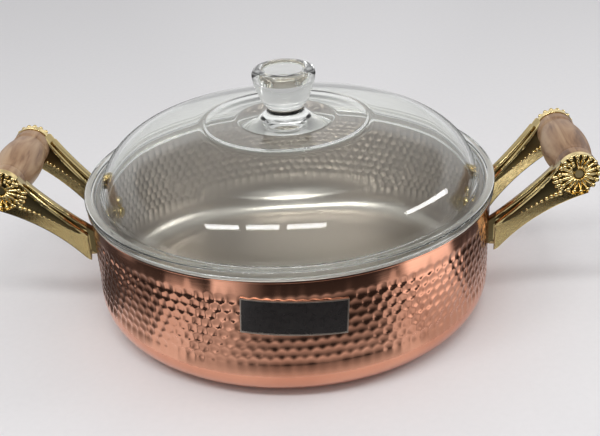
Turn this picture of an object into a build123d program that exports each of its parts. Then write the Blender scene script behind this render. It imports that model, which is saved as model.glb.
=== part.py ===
"""Two-handled copper casserole with a pressed glass lid.

The base rests on z = 0 with its centre at the origin. +X runs through the two handles,
-Y is the front, where the label sits, and +Z is up. All sizes are in millimetres.
"""

import os
from math import asin, atan2, cos, degrees, hypot, pi, radians, sin, sqrt

from build123d import *

os.makedirs("parts", exist_ok=True)

# Pan: a copper shell with an out-turned lip, and a bright lining inside it
wall_radius = 120.0
pan_height = 76.0
corner_radius = 18.0
copper_thickness = 2.0
lining_thickness = 0.6
bond_gap = 0.05
lip_overhang = 1.6
lip_thickness = 1.6
lip_fillet = 0.8
drill_overrun = 2.0

# Glass lid: flange, locating skirt, dome, raised disc and hollow knob in one pressing
flange_cover = 0.4
flange_thickness = 4.6
flange_edge_radius = 1.8
flange_bead_width = 3.7
flange_groove_depth = 1.1
lid_seat_gap = 0.3
skirt_clearance = 1.1
skirt_depth = 4.5
skirt_corner = 1.2
flange_land = 7.6
dome_rise = 38.0
crown_radius = 322.0
shoulder_radius = 35.7
glass_thickness = 4.0
disc_radius = 48.5
disc_step = 1.0
knob_foot_radius = 29.5
knob_foot_rise = 2.4
knob_foot_slope = 0.5
knob_neck_radius = 10.6
knob_neck_height = 6.5
knob_waist_radius = 12.6
knob_waist_height = 9.6
knob_rim_radius = 18.4
knob_height = 30.0
knob_rim_height = 2.2
knob_rim_round = 1.7
knob_cup_radius = 12.4
knob_cup_depth = 13.0

# Handles: a turned wooden grip held between two cast brass arms
grip_standoff = 44.2
grip_rise = 13.0
grip_length = 61.0
grip_bulge_radius = 13.2
grip_groove_radius = 10.4
grip_collar_radius = 11.3
grip_collar_width = 8.5
grip_end_round = 1.0
grip_end_gap = 0.1
grip_bore_clearance = 0.2

# Cast arm: a curved bar with a foot against the wall
arm_thickness = 9.0
foot_drop = 20.0
foot_height = 19.6
foot_width = 3.6
foot_gap = 0.1
arm_top_sag = 1.6
arm_under_arch = 4.6
arm_edge_chamfer = 0.9
panel_depth = 1.4
panel_margin = 2.2
panel_tip_drop = 1.1
panel_top_drop = 4.4
panel_band = 8.5
bead_count = 5
bead_run = 0.5
bead_sides = 6
bead_taper = 12.0
bead_smallest = 0.9
bead_largest = 1.6

# Rosette on the outer face of each arm
boss_radius = 11.6
boss_thickness = 4.2
upper_join_angle = 30.0
lower_join_angle = 60.0
petal_count = 18
petal_height = 2.2
petal_inner_radius = 4.4
petal_outer_radius = 12.2
petal_fill = 0.84
petal_taper = 28.0

# Fasteners: a through bolt with a domed nut in each grip, screws in each foot
head_taper = 28.0
nut_taper = 14.0
bolt_radius = 2.5
bolt_clearance = 0.1
bolt_head_radius = 3.3
bolt_head_height = 1.8
nut_height = 2.4
nut_bore_depth = 1.4
recess_clearance = 0.3
recess_depth = 1.0
screw_radius = 2.4
screw_clearance = 0.1
screw_head_radius = 4.0
screw_head_height = 1.8
screw_seat_gap = 0.05
screw_depth = 4.5
screw_drop = 5.5
screw_spacing = 8.0

# Bare label plate stuck on the front of the wall, a little crooked
label_width = 55.6
label_height = 20.5
label_thickness = 0.5
label_drop = 23.0
label_turn = 3.0
label_tilt = -3.6
label_corner = 0.6
label_gap = 0.1

# How close a corner or an edge lies to a named size when it is picked by its place
match_tolerance = 0.05

# Places that follow from the sizes above
mouth_radius = wall_radius - copper_thickness
lip_radius = wall_radius + lip_overhang
flange_radius = lip_radius + flange_cover
dome_radius = flange_radius - flange_land
grip_reach = wall_radius + grip_standoff
grip_height = pan_height + grip_rise
foot_top = pan_height - foot_drop
foot_bottom = foot_top - foot_height
label_middle = pan_height - label_drop
lining_radius = mouth_radius - bond_gap
bowl_radius = lining_radius - lining_thickness
flange_bottom = pan_height + lid_seat_gap
flange_top = flange_bottom + flange_thickness
groove_height = flange_top - flange_groove_depth
skirt_radius = bowl_radius - skirt_clearance
skirt_bottom = flange_bottom - skirt_depth
wood_end = grip_length / 2
boss_inner = wood_end + grip_end_gap
boss_face = boss_inner + boss_thickness
boss_middle = boss_inner + (boss_thickness + petal_height) / 2
arm_angle = atan2(boss_middle, grip_reach)
arm_reach = hypot(grip_reach, boss_middle)
arm_radial = Vector(cos(arm_angle), -sin(arm_angle), 0)
arm_plane = Plane(origin=(0, 0, 0), x_dir=arm_radial, z_dir=arm_radial.cross(Vector(0, 0, 1)))
rosette_plane = Plane(origin=(grip_reach, -boss_face, grip_height), x_dir=(1, 0, 0), z_dir=(0, -1, 0))
grip_plane = Plane(origin=(grip_reach, 0, grip_height), x_dir=(1, 0, 0), z_dir=(0, 0, 1))
grip_axis = Axis((grip_reach, 0, grip_height), (0, 1, 0))
screw_heights = [foot_top - screw_drop, foot_top - screw_drop - screw_spacing]
foot_seat = wall_radius + foot_gap
head_seat = sqrt(bowl_radius**2 - screw_head_radius**2) - screw_seat_gap


def foot_planes(distance, sides=("left", "right"), ends=("front", "back")):
    """Planes across the foot screws, facing outwards at a distance from the pan's axis."""
    planes = []
    for side in sides:
        for end in ends:
            along_x = cos(arm_angle) if side == "right" else -cos(arm_angle)
            along_y = sin(arm_angle) if end == "back" else -sin(arm_angle)
            outwards = Vector(along_x, along_y, 0)
            for height in screw_heights:
                planes.append(Plane(origin=outwards * distance + Vector(0, 0, height), z_dir=outwards))
    return planes


def mirrored(side, end):
    """The mirror planes that carry a right front piece to another corner."""
    planes = []
    if side == "left":
        planes.append(Plane.YZ)
    if end == "back":
        planes.append(Plane.XZ)
    return planes


def bowl_section(outer, thickness, bottom, corner):
    """Half section of a straight-sided bowl wall with a rounded corner, open at the top."""
    inner = outer - thickness
    with BuildSketch(Plane.XZ) as section:
        with BuildLine():
            Line((0, bottom), (outer - corner, bottom))
            RadiusArc((outer - corner, bottom), (outer, bottom + corner), -corner)
            Line((outer, bottom + corner), (outer, pan_height))
            Line((outer, pan_height), (inner, pan_height))
            Line((inner, pan_height), (inner, bottom + corner))
            RadiusArc((inner, bottom + corner), (outer - corner, bottom + thickness), corner - thickness)
            Line((outer - corner, bottom + thickness), (0, bottom + thickness))
            Line((0, bottom + thickness), (0, bottom))
        make_face()
    return section.sketch


# Copper pan body
with BuildPart() as pan_body:
    revolve(bowl_section(wall_radius, copper_thickness, 0, corner_radius), axis=Axis.Z)
    with BuildSketch(Plane.XY.offset(pan_height - lip_thickness)):
        Circle(lip_radius)
        Circle(mouth_radius, mode=Mode.SUBTRACT)
    extrude(amount=lip_thickness)
    lip_edges = pan_body.edges().filter_by(GeomType.CIRCLE)
    lip_root = lip_edges.filter_by(lambda edge: abs(edge.radius - wall_radius) < match_tolerance)
    fillet(lip_root.sort_by(Axis.Z)[-1], lip_fillet)
    with BuildSketch(*foot_planes(mouth_radius - drill_overrun)):
        Circle(screw_radius + screw_clearance)
    extrude(amount=copper_thickness + drill_overrun * 2, mode=Mode.SUBTRACT)
pan_body.part.label = "pan_body"
export_step(pan_body.part, "parts/pan_body.step")

# Bright lining, bonded inside the copper
with BuildPart() as pan_lining:
    lining_bottom = copper_thickness + bond_gap
    revolve(
        bowl_section(lining_radius, lining_thickness, lining_bottom, corner_radius - lining_bottom),
        axis=Axis.Z,
    )
    with BuildSketch(*foot_planes(bowl_radius - drill_overrun)):
        Circle(screw_radius + screw_clearance)
    extrude(amount=lining_thickness + drill_overrun * 2, mode=Mode.SUBTRACT)
pan_lining.part.label = "pan_lining"
export_step(pan_lining.part, "parts/pan_lining.step")

# Bare label plate, bent to the wall
label_plane = Plane.XZ.rotated((0, 0, label_turn))
label_inner = wall_radius + label_gap
with BuildPart() as front_label:
    with BuildSketch(Plane.XY):
        Circle(label_inner + label_thickness)
        Circle(label_inner, mode=Mode.SUBTRACT)
    extrude(amount=pan_height)
    with BuildSketch(label_plane):
        with Locations((0, label_middle)):
            RectangleRounded(label_width, label_height, label_corner, rotation=label_tilt)
    extrude(amount=label_inner + label_thickness, mode=Mode.INTERSECT)
front_label.part.label = "front_label"
export_step(front_label.part, "parts/front_label.step")

# Glass lid: the dome is a wide crown that runs tangent into a tight shoulder
crown_middle = groove_height + dome_rise - crown_radius
shoulder_middle = dome_radius - shoulder_radius
shoulder_height = crown_middle + sqrt((crown_radius - shoulder_radius) ** 2 - shoulder_middle**2)
tangent_angle = atan2(shoulder_height - crown_middle, shoulder_middle)


def dome_point(inset, angle, at_shoulder):
    """A point on the dome, set in from its outer face, at an angle from the horizontal."""
    if at_shoulder:
        reach = shoulder_radius - inset
        return (shoulder_middle + reach * cos(angle), shoulder_height + reach * sin(angle))
    reach = crown_radius - inset
    return (reach * cos(angle), crown_middle + reach * sin(angle))


foot_angle = asin((groove_height - shoulder_height) / shoulder_radius)
inner_angle = asin((flange_bottom - shoulder_height) / (shoulder_radius - glass_thickness))
inner_foot = dome_point(glass_thickness, inner_angle, True)
crown_edge = crown_middle + sqrt(crown_radius**2 - disc_radius**2)
crown_edge_angle = atan2(crown_edge - crown_middle, disc_radius)
disc_height = crown_edge + disc_step
neck_height = disc_height + knob_neck_height
waist_height = disc_height + knob_waist_height
knob_top = disc_height + knob_height
cup_bottom = knob_top - knob_cup_depth
cup_ball = (knob_cup_radius**2 + knob_cup_depth**2) / (2 * knob_cup_depth)
cup_middle = cup_bottom + cup_ball
cup_angle = (atan2(knob_top - cup_middle, knob_cup_radius) - pi / 2) / 2
cup_side = (cup_ball * cos(cup_angle), cup_middle + cup_ball * sin(cup_angle))
inner_crown = dome_point(glass_thickness, pi / 2, False)

with BuildPart() as glass_lid:
    with BuildSketch(Plane.XZ) as lid_section:
        with BuildLine():
            Line((skirt_radius, flange_bottom), (flange_radius, flange_bottom))
            Line((flange_radius, flange_bottom), (flange_radius, flange_top))
            Line((flange_radius, flange_top), (flange_radius - flange_bead_width, flange_top))
            Line(
                (flange_radius - flange_bead_width, flange_top),
                (flange_radius - flange_bead_width - flange_groove_depth, groove_height),
            )
            Line(
                (flange_radius - flange_bead_width - flange_groove_depth, groove_height),
                dome_point(0, foot_angle, True),
            )
            ThreePointArc(
                dome_point(0, foot_angle, True),
                dome_point(0, (foot_angle + tangent_angle) / 2, True),
                dome_point(0, tangent_angle, True),
            )
            ThreePointArc(
                dome_point(0, tangent_angle, False),
                dome_point(0, (tangent_angle + crown_edge_angle) / 2, False),
                dome_point(0, crown_edge_angle, False),
            )
            Line((disc_radius, crown_edge), (disc_radius - disc_step, disc_height))
            Line((disc_radius - disc_step, disc_height), (knob_foot_radius, disc_height))
            ThreePointArc(
                (knob_foot_radius, disc_height),
                (
                    (knob_foot_radius + knob_neck_radius) / 2,
                    disc_height + knob_foot_rise / 2,
                ),
                (knob_neck_radius + knob_foot_rise, disc_height + knob_foot_rise),
            )
            TangentArc(
                (knob_neck_radius + knob_foot_rise, disc_height + knob_foot_rise),
                (knob_neck_radius, neck_height),
                tangent=(-1, knob_foot_slope),
            )
            Line((knob_neck_radius, neck_height), (knob_waist_radius, waist_height))
            Line((knob_waist_radius, waist_height), (knob_rim_radius, knob_top - knob_rim_height))
            Line((knob_rim_radius, knob_top - knob_rim_height), (knob_rim_radius, knob_top))
            Line((knob_rim_radius, knob_top), (knob_cup_radius, knob_top))
            ThreePointArc((knob_cup_radius, knob_top), cup_side, (0, cup_bottom))
            Line((0, cup_bottom), inner_crown)
            ThreePointArc(
                inner_crown,
                dome_point(glass_thickness, (tangent_angle + pi / 2) / 2, False),
                dome_point(glass_thickness, tangent_angle, False),
            )
            ThreePointArc(
                dome_point(glass_thickness, tangent_angle, True),
                dome_point(glass_thickness, (tangent_angle + inner_angle) / 2, True),
                inner_foot,
            )
            Line(inner_foot, (inner_foot[0], skirt_bottom))
            Line((inner_foot[0], skirt_bottom), (skirt_radius, skirt_bottom))
            Line((skirt_radius, skirt_bottom), (skirt_radius, flange_bottom))
        make_face()
        flange_rim = lid_section.vertices().filter_by_position(
            Axis.X, flange_radius - match_tolerance, flange_radius + match_tolerance
        )
        fillet(flange_rim, flange_edge_radius)
        skirt_edge = lid_section.vertices().group_by(Axis.Y)[0]
        fillet(skirt_edge, skirt_corner)
        knob_rim = lid_section.vertices().group_by(Axis.Y)[-1]
        fillet(knob_rim, knob_rim_round)
    revolve(axis=Axis.Z)
glass_lid.part.label = "glass_lid"
export_step(glass_lid.part, "parts/glass_lid.step")

# Cast brass arm at the right front: a curved bar from the foot to the rosette
foot_outer = foot_seat + foot_width
upper_start = (foot_outer, foot_top)
upper_join = radians(upper_join_angle)
upper_end = (arm_reach - boss_radius * cos(upper_join), grip_height + boss_radius * sin(upper_join))
lower_start = (foot_outer, foot_bottom)
lower_join = radians(lower_join_angle)
lower_end = (arm_reach + boss_radius * cos(lower_join), grip_height - boss_radius * sin(lower_join))


def bowed(start, end, rise):
    """The middle point of an arc between two points, bowed sideways by the rise."""
    run = Vector(*end) - Vector(*start)
    across = Vector(-run.Y, run.X).normalized() * rise
    middle = (Vector(*start) + Vector(*end)) / 2 + across
    return (middle.X, middle.Y)


panel_tip = (foot_outer + panel_margin, foot_top - panel_tip_drop)
panel_top = (upper_end[0], upper_end[1] - panel_top_drop)
panel_low = (panel_top[0], grip_height - panel_band)
panel_upper = Edge.make_three_point_arc(panel_tip, bowed(panel_tip, panel_top, -arm_top_sag), panel_top)
panel_lower = Edge.make_three_point_arc(panel_low, bowed(panel_low, panel_tip, arm_top_sag), panel_tip)

with BuildPart() as right_front_arm:
    with BuildSketch(arm_plane):
        with BuildLine():
            Line((mouth_radius, foot_bottom), lower_start)
            ThreePointArc(lower_start, bowed(lower_start, lower_end, arm_under_arch), lower_end)
            Line(lower_end, (arm_reach, grip_height))
            Line((arm_reach, grip_height), upper_end)
            ThreePointArc(upper_end, bowed(upper_end, upper_start, arm_top_sag), upper_start)
            Line(upper_start, (mouth_radius, foot_top))
            Line((mouth_radius, foot_top), (mouth_radius, foot_bottom))
        make_face()
    extrude(amount=arm_thickness / 2, both=True)
    long_edges = right_front_arm.edges().filter_by(GeomType.CIRCLE)
    chamfer(long_edges, arm_edge_chamfer)
    for face_side in (1, -1):
        face_plane = arm_plane.offset(face_side * arm_thickness / 2)
        with BuildSketch(face_plane):
            with BuildLine():
                add(panel_upper)
                Line(panel_top, panel_low)
                add(panel_lower)
            make_face()
        extrude(amount=-face_side * panel_depth, mode=Mode.SUBTRACT)
        for index in range(bead_count):
            share = index / (bead_count - 1)
            bead_size = bead_largest + (bead_smallest - bead_largest) * share
            with BuildSketch(face_plane.offset(-face_side * panel_depth)):
                with Locations(panel_lower @ (bead_run * share)):
                    RegularPolygon(bead_size, bead_sides)
            extrude(amount=face_side * (panel_depth + bead_size / 2), taper=bead_taper)
    with BuildSketch(rosette_plane):
        Circle(boss_radius)
    extrude(amount=-boss_thickness)
    with BuildSketch(rosette_plane):
        Circle(petal_outer_radius)
    extrude(amount=arm_thickness, mode=Mode.SUBTRACT)
    petal_half = pi / petal_count * petal_fill
    petal_root = (petal_inner_radius * cos(petal_half), petal_inner_radius * sin(petal_half))
    petal_tip = (petal_outer_radius * cos(petal_half), petal_outer_radius * sin(petal_half))
    with BuildSketch(rosette_plane):
        with PolarLocations(0, petal_count):
            Polygon(
                (petal_root[0], -petal_root[1]),
                (petal_tip[0], -petal_tip[1]),
                petal_tip,
                petal_root,
                align=None,
            )
    extrude(amount=petal_height, taper=petal_taper)
    with BuildSketch(Plane(origin=(grip_reach, -boss_inner, grip_height), z_dir=(0, 1, 0))):
        Circle(boss_radius)
    extrude(amount=grip_length / 2, mode=Mode.SUBTRACT)
    with BuildSketch(Plane(origin=(grip_reach, 0, grip_height), z_dir=(0, -1, 0))):
        Circle(bolt_radius + bolt_clearance)
    extrude(amount=grip_length, mode=Mode.SUBTRACT)
    with BuildSketch(rosette_plane.offset(-recess_depth)):
        Circle(bolt_head_radius + recess_clearance)
    extrude(amount=recess_depth + petal_height, mode=Mode.SUBTRACT)
    with BuildSketch(Plane.XY):
        Circle(foot_seat)
    extrude(amount=knob_top, mode=Mode.SUBTRACT)
    with BuildSketch(*foot_planes(mouth_radius, ("right",), ("front",))):
        Circle(screw_radius + screw_clearance)
    extrude(amount=copper_thickness + screw_depth, mode=Mode.SUBTRACT)

# Screws of the right front foot, driven from inside the pan
with BuildPart() as right_front_screws:
    with BuildSketch(*foot_planes(head_seat, ("right",), ("front",))):
        Circle(screw_radius)
    extrude(amount=wall_radius - head_seat + screw_depth - screw_clearance)
    with BuildSketch(*foot_planes(head_seat, ("right",), ("front",))):
        Circle(screw_head_radius)
    extrude(amount=-screw_head_height, taper=head_taper)

for side in ("left", "right"):
    for end in ("front", "back"):
        with BuildPart() as arm:
            add(right_front_arm.part)
            for plane in mirrored(side, end):
                mirror(about=plane, mode=Mode.REPLACE)
        arm.part.label = f"{side}_{end}_arm"
        export_step(arm.part, f"parts/{side}_{end}_arm.step")
        with BuildPart() as foot_screws:
            add(right_front_screws.part)
            for plane in mirrored(side, end):
                mirror(about=plane, mode=Mode.REPLACE)
        foot_screws.part.label = f"{side}_{end}_foot_screws"
        export_step(foot_screws.part, f"parts/{side}_{end}_foot_screws.step")

# Turned wooden grip at the right, with its bolt hole
groove_place = wood_end - grip_collar_width
with BuildPart() as right_grip:
    with BuildSketch(grip_plane) as grip_section:
        with BuildLine():
            bore = bolt_radius + grip_bore_clearance
            Line((bore, -wood_end), (grip_collar_radius, -wood_end))
            Line((grip_collar_radius, -wood_end), (grip_collar_radius, -groove_place - grip_end_round))
            Line((grip_collar_radius, -groove_place - grip_end_round), (grip_groove_radius, -groove_place))
            ThreePointArc(
                (grip_groove_radius, -groove_place),
                (grip_bulge_radius, 0),
                (grip_groove_radius, groove_place),
            )
            Line((grip_groove_radius, groove_place), (grip_collar_radius, groove_place + grip_end_round))
            Line((grip_collar_radius, groove_place + grip_end_round), (grip_collar_radius, wood_end))
            Line((grip_collar_radius, wood_end), (bore, wood_end))
            Line((bore, wood_end), (bore, -wood_end))
        make_face()
        collar_edge = grip_reach + grip_collar_radius
        collar_corners = grip_section.vertices().filter_by_position(
            Axis.X, collar_edge - match_tolerance, collar_edge + match_tolerance
        )
        fillet(collar_corners, grip_end_round)
    revolve(axis=grip_axis)

# Through bolt, with its domed head in the front rosette
head_plane = rosette_plane.offset(-recess_depth)
bolt_end = boss_face - recess_depth + nut_bore_depth - bolt_clearance
with BuildPart() as right_tie_bolt:
    with BuildSketch(head_plane):
        Circle(bolt_radius)
    extrude(amount=-(boss_face - recess_depth + bolt_end))
    with BuildSketch(head_plane):
        Circle(bolt_head_radius)
    extrude(amount=bolt_head_height, taper=head_taper)

# Domed nut in the back rosette
nut_plane = Plane(origin=(grip_reach, boss_face - recess_depth, grip_height), z_dir=(0, 1, 0))
with BuildPart() as right_tie_nut:
    with BuildSketch(nut_plane):
        Circle(bolt_head_radius)
    extrude(amount=nut_height, taper=nut_taper)
    with BuildSketch(nut_plane):
        Circle(bolt_radius + bolt_clearance)
    extrude(amount=nut_bore_depth, mode=Mode.SUBTRACT)

for side in ("left", "right"):
    for name, source in (("grip", right_grip), ("tie_bolt", right_tie_bolt), ("tie_nut", right_tie_nut)):
        with BuildPart() as handle_piece:
            add(source.part)
            for plane in mirrored(side, "front"):
                mirror(about=plane, mode=Mode.REPLACE)
        handle_piece.part.label = f"{side}_{name}"
        export_step(handle_piece.part, f"parts/{side}_{name}.step")

print(f"arms stand {degrees(arm_angle):.1f} degrees either side of the handle line")
print(f"total height {knob_top:.1f}, handle span {2 * (grip_reach + petal_outer_radius):.1f}")
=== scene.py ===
# %% [markdown]
# # A hammered copper casserole with a glass lid
# The pan is spun from copper sheet, hammered all round its wall and lined with bright metal.
# Two turned wooden grips hang between cast brass arms, and a pressed glass lid rests on the rim.
# The CAD model already holds every size and joint. This lesson dresses it, one piece at a time.

# %% Load the CAD frame
import random
from math import asin, atan2, cos, hypot, pi, radians, sin, sqrt

import bpy
from mathutils import Matrix, Vector


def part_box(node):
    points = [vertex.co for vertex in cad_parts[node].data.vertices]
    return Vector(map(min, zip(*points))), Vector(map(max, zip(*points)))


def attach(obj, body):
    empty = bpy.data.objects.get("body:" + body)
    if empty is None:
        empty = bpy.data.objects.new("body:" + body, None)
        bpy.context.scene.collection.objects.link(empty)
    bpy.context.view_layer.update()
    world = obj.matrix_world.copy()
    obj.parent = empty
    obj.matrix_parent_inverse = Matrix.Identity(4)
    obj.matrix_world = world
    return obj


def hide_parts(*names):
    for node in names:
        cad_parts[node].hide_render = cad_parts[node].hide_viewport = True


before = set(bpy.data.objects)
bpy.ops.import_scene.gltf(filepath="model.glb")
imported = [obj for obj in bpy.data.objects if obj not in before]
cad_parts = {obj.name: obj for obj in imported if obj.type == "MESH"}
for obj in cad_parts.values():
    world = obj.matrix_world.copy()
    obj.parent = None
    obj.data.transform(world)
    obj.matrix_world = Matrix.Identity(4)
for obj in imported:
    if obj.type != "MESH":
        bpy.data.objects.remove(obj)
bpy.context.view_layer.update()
MM = 0.001

# %% [markdown]
# ## Tools of the workshop
# A round piece can be carved from a cylinder or turned on a lathe. Most of this object is round,
# so a lathe is the main tool: one vertex is extruded along a profile, and the profile is turned.
# Corners are rounded in the profile itself, because a sharp glass or metal edge never looks real.

# %% Draw a line and close up a shape
MERGE_DISTANCE = 0.001 * MM


def choose(*pieces):
    """Selects these objects alone, with the first one active."""
    bpy.ops.object.select_all(action="DESELECT")
    for piece in pieces:
        piece.select_set(True)
    bpy.context.view_layer.objects.active = pieces[0]


def draw_line(name, points):
    """An open chain of edges, drawn by extruding one vertex from point to point."""
    bpy.ops.object.select_all(action="DESELECT")
    bpy.ops.mesh.primitive_plane_add(size=MM, location=points[0])
    line = bpy.context.object
    line.name = name
    bpy.ops.object.mode_set(mode="EDIT")
    bpy.ops.mesh.merge(type="CENTER")
    for here, there in zip(points, points[1:]):
        step = Vector(there) - Vector(here)
        bpy.ops.mesh.extrude_region_move(TRANSFORM_OT_translate={"value": step})
    bpy.ops.object.mode_set(mode="OBJECT")
    bpy.ops.object.transform_apply(location=True, rotation=True, scale=True)
    return line


def close_up(piece):
    """Merges doubled points and turns all faces outwards."""
    choose(piece)
    bpy.ops.object.mode_set(mode="EDIT")
    bpy.ops.mesh.select_all(action="SELECT")
    bpy.ops.mesh.remove_doubles(threshold=MERGE_DISTANCE)
    bpy.ops.mesh.normals_make_consistent(inside=False)
    bpy.ops.object.mode_set(mode="OBJECT")


print("shapes are merged within", MERGE_DISTANCE / MM, "mm")


# %% Turn, place, join and smooth
def apply_modifier(piece, kind, **settings):
    """Adds a modifier with its settings and applies it at once."""
    modifier = piece.modifiers.new(kind.title(), kind)
    for name, value in settings.items():
        setattr(modifier, name, value)
    choose(piece)
    bpy.ops.object.modifier_apply(modifier=modifier.name)


def lathe(name, profile, steps):
    """Turns a profile of (reach, height) points round the vertical axis."""
    turned = draw_line(name, [(reach, 0, height) for reach, height in profile])
    apply_modifier(turned, "SCREW", steps=steps, render_steps=steps, use_merge_vertices=True)
    close_up(turned)
    return turned


def place(piece, turn=(0, 0, 0), move=(0, 0, 0), size=(1, 1, 1)):
    """Turns, sizes and moves a piece, and puts its place into its mesh."""
    piece.rotation_euler = turn
    piece.location = move
    piece.scale = size
    choose(piece)
    bpy.ops.object.transform_apply(location=True, rotation=True, scale=True)
    return piece


def join(name, pieces):
    """Joins pieces into one object."""
    choose(*pieces)
    bpy.ops.object.join()
    pieces[0].name = name
    return pieces[0]


def smooth(piece, angle):
    """Shades a piece smooth, but for edges sharper than the angle."""
    choose(piece)
    bpy.ops.object.shade_smooth_by_angle(angle=radians(angle))


print("the lathe is ready")


# %% Arcs, bows and rounded corners for profiles
def arc(centre, radius, start, end, count):
    """Points on an arc, from one angle to another in radians."""
    angles = [start + (end - start) * step / count for step in range(count + 1)]
    return [(centre[0] + radius * cos(angle), centre[1] + radius * sin(angle)) for angle in angles]


def bow(start, end, rise, share):
    """A point along a shallow bow, whose middle stands sideways from the straight line by the rise."""
    run = Vector(end) - Vector(start)
    across = Vector((-run.y, run.x)).normalized()
    return Vector(start) + run * share + across * rise * 4 * share * (1 - share)


def rounded(corners, count=5):
    """A profile through corners of (reach, height, rounding), each eased by its rounding at most.

    A spare point beside each rounding keeps the shading of the straights flat.
    """
    points = [corners[0][:2]]
    for before, corner, after in zip(corners, corners[1:], corners[2:]):
        here = Vector(corner[:2])
        backwards, onwards = Vector(before[:2]) - here, Vector(after[:2]) - here
        ease = min(corner[2], 0.45 * backwards.length, 0.45 * onwards.length)
        spare = 0.1 * ease
        start, end = here + backwards.normalized() * ease, here + onwards.normalized() * ease
        points.append(tuple(start + backwards.normalized() * spare))
        for step in range(count + 1):
            share = step / count
            points.append(tuple(start.lerp(here, share).lerp(here.lerp(end, share), share)))
        points.append(tuple(end + onwards.normalized() * spare))
    points.append(corners[-1][:2])
    return points


print("an arc of 3 steps has", len(arc((0, 0), 1, 0, pi, 3)), "points")

# %% [markdown]
# ## Writing materials as sums
# Node trees grow long when every sum is wired by hand. A small class wraps a socket, so that a mask
# can be written as a Python expression, and one method makes every other node.


# %% A wire with arithmetic
class Wire:
    """A socket of a material, with Python's arithmetic."""

    def __init__(self, finish, socket):
        self.finish = finish
        self.socket = socket

    def sum(self, operation, first, second):
        return self.finish.node("ShaderNodeMath", {"operation": operation}, {0: first, 1: second})

    def __add__(self, other):
        return self.sum("ADD", self, other)

    def __radd__(self, other):
        return self.sum("ADD", other, self)

    def __sub__(self, other):
        return self.sum("SUBTRACT", self, other)

    def __rsub__(self, other):
        return self.sum("SUBTRACT", other, self)

    def __mul__(self, other):
        return self.sum("MULTIPLY", self, other)

    def __rmul__(self, other):
        return self.sum("MULTIPLY", other, self)


print("wires can be added, subtracted and multiplied")


# %% A finish that holds the nodes
class Finish:
    """A material with one Principled shader, built up node by node."""

    def __init__(self, name):
        self.material = bpy.data.materials.new(name)
        self.material.use_nodes = True
        self.tree = self.material.node_tree
        self.shader = self.tree.nodes["Principled BSDF"]
        self.output = self.tree.nodes["Material Output"]

    def node(self, kind, settings=None, inputs=None, output=0):
        """Any node: its type, its settings, its inputs, and the output that is wanted."""
        made = self.tree.nodes.new(kind)
        for name, value in (settings or {}).items():
            if name == "stops":
                self.set_stops(made.color_ramp, value)
            else:
                setattr(made, name, value)
        for name, value in (inputs or {}).items():
            self.feed(made.inputs[name], value)
        return Wire(self, made.outputs[output])

    def set_stops(self, ramp, stops):
        while len(ramp.elements) < len(stops):
            ramp.elements.new(1.0)
        for element, (position, colour) in zip(ramp.elements, stops):
            element.position = position
            element.color = (*colour, 1.0)

    def feed(self, socket, value):
        if isinstance(value, Wire):
            self.tree.links.new(value.socket, socket)
        elif isinstance(value, tuple) and len(value) == 3 and socket.type == "RGBA":
            socket.default_value = (*value, 1.0)
        else:
            socket.default_value = value

    def surface(self, **inputs):
        """Feeds the Principled shader: base_color stands for its Base Color, and so on."""
        for name, value in inputs.items():
            label = name.replace("_", " ").title().replace("Ior", "IOR")
            self.feed(self.shader.inputs[label], value)

    def place(self, size=(1, 1, 1)):
        """Object coordinates, sized to suit a pattern."""
        object_place = self.node("ShaderNodeTexCoord", output="Object")
        inputs = {"Vector": object_place, "Scale": size}
        return self.node("ShaderNodeMapping", {"vector_type": "POINT"}, inputs)

    def noise(self, vector, scale, detail=3.0, roughness=0.5, distortion=0.0):
        inputs = {
            "Vector": vector,
            "Scale": scale,
            "Detail": detail,
            "Roughness": roughness,
            "Distortion": distortion,
        }
        return self.node("ShaderNodeTexNoise", None, inputs)

    def ramp(self, value, *stops):
        """A value turned into a colour between stops of (position, colour)."""
        return self.node("ShaderNodeValToRGB", {"stops": stops}, {0: value})

    def between(self, value, low, high):
        """A value spread so that low becomes 0 and high becomes 1, and held there."""
        inputs = {"Value": value, "From Min": low, "From Max": high}
        return self.node("ShaderNodeMapRange", {"clamp": True}, inputs)

    def mix(self, share, first, second):
        """A blend of two colours."""
        settings = {"data_type": "RGBA"}
        return self.node("ShaderNodeMix", settings, {0: share, 6: first, 7: second}, output=2)

    def bump(self, height, strength, distance):
        inputs = {"Height": height, "Strength": strength, "Distance": distance}
        return self.node("ShaderNodeBump", None, inputs)


print("a finish can be written as sums")


# %% Dress a piece
def dress(piece, finish, slot, body, *nodes):
    """Gives a piece its finish, lets it ride on its body, and hides the CAD nodes that it stands for."""
    piece.data.materials.clear()
    piece.data.materials.append(finish.material)
    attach(piece, body)
    if nodes:
        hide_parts(*nodes)


# %% [markdown]
# ## Copper
# The copper is polished but used: a warm salmon metal with soft, cloudy tarnish and fine rubbing lines
# round the pan. A flat metal colour would look like plastic, so both the colour and the gloss vary.

# %% Copper finish
def copper_finish():
    copper = Finish("hammered copper")
    cloud = copper.noise(copper.place(), 14.0, detail=4.0, roughness=0.6)
    rub = copper.noise(copper.place(size=(1, 1, 14)), 60.0, detail=3.0)
    tarnish = copper.between(cloud, 0.42, 0.72)
    copper.surface(
        base_color=copper.mix(tarnish, (0.82, 0.40, 0.265), (0.68, 0.30, 0.19)),
        metallic=1.0,
        roughness=0.08 + 0.06 * tarnish + 0.06 * copper.between(rub, 0.45, 0.75),
        normal=copper.bump(rub, 0.06, 0.2 * MM),
    )
    return copper


copper = copper_finish()
print("made", copper.material.name)

# %% [markdown]
# ## The copper pan
# The pan is one sheet: base, rounded corner, straight wall, smooth neck and an out-turned lip. It is
# turned as a closed shell, inside and out, with enough points in the wall for the hammer marks.

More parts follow.
